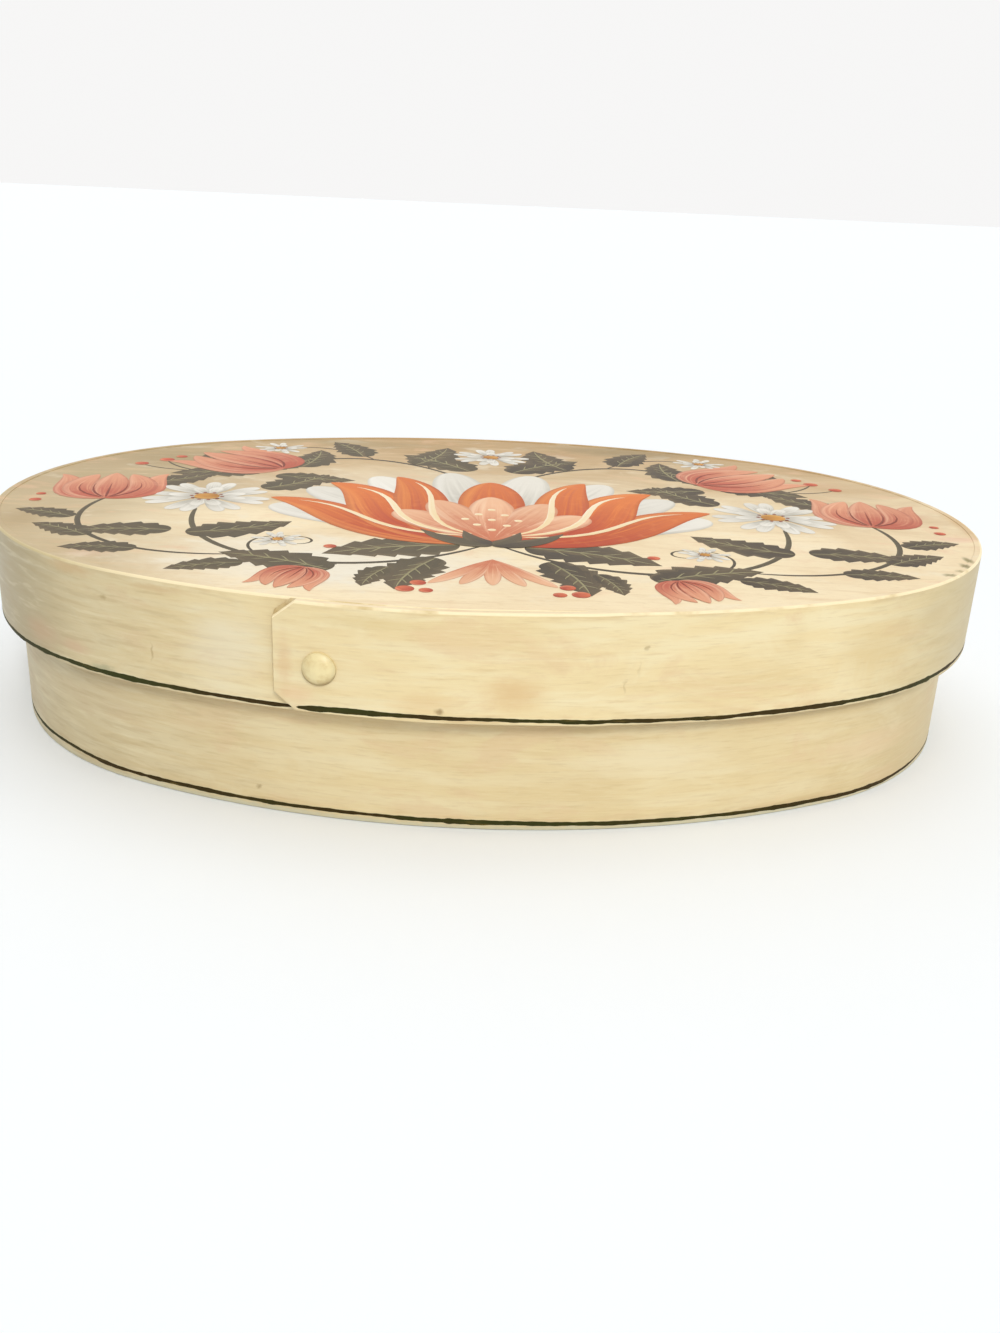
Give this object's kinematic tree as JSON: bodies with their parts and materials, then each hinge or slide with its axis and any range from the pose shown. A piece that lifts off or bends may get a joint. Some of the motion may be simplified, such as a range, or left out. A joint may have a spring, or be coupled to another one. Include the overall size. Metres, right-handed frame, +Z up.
{
  "type": "oval wooden box",
  "caption": "Oval bentwood box with a lift-off lid, its bands lapped and held by domed wooden buttons, painted cream with a folk flower design.",
  "frame": {"origin": "centre of the box's underside, on the surface that it stands on", "axes": "+X along the box to the right as seen from the front, -Y to the front where the lid's lap shows, +Z up"},
  "size_m": [0.4, 0.2863, 0.081],
  "materials": {
    "lid_paint": "hand-painted, satin, cream",
    "band_paint": "hand-painted, satin, streaked cream",
    "base_paint": "hand-painted, satin, streaked cream, a shade darker",
    "bare_wood": "plain planed wood",
    "line_paint": "dark green-black brushed line",
    "flower_paint": "orange-red and peach brush strokes",
    "leaf_paint": "taupe-green brush strokes"
  },
  "bodies": {
    "base": {"base_board": "bare_wood", "base_band": "base_paint", "base_button": "base_paint", "base_pegs": "base_paint"},
    "lid": {"lid_board": "lid_paint", "lid_band": "band_paint", "lid_button": "band_paint", "lid_pegs": "band_paint"}
  },
  "joints": [
    {"name": "lid_lift", "type": "slide", "parent": "base", "child": "lid", "axis": [0, 0, 1], "range_m": [0, 0.12]}
  ]
}
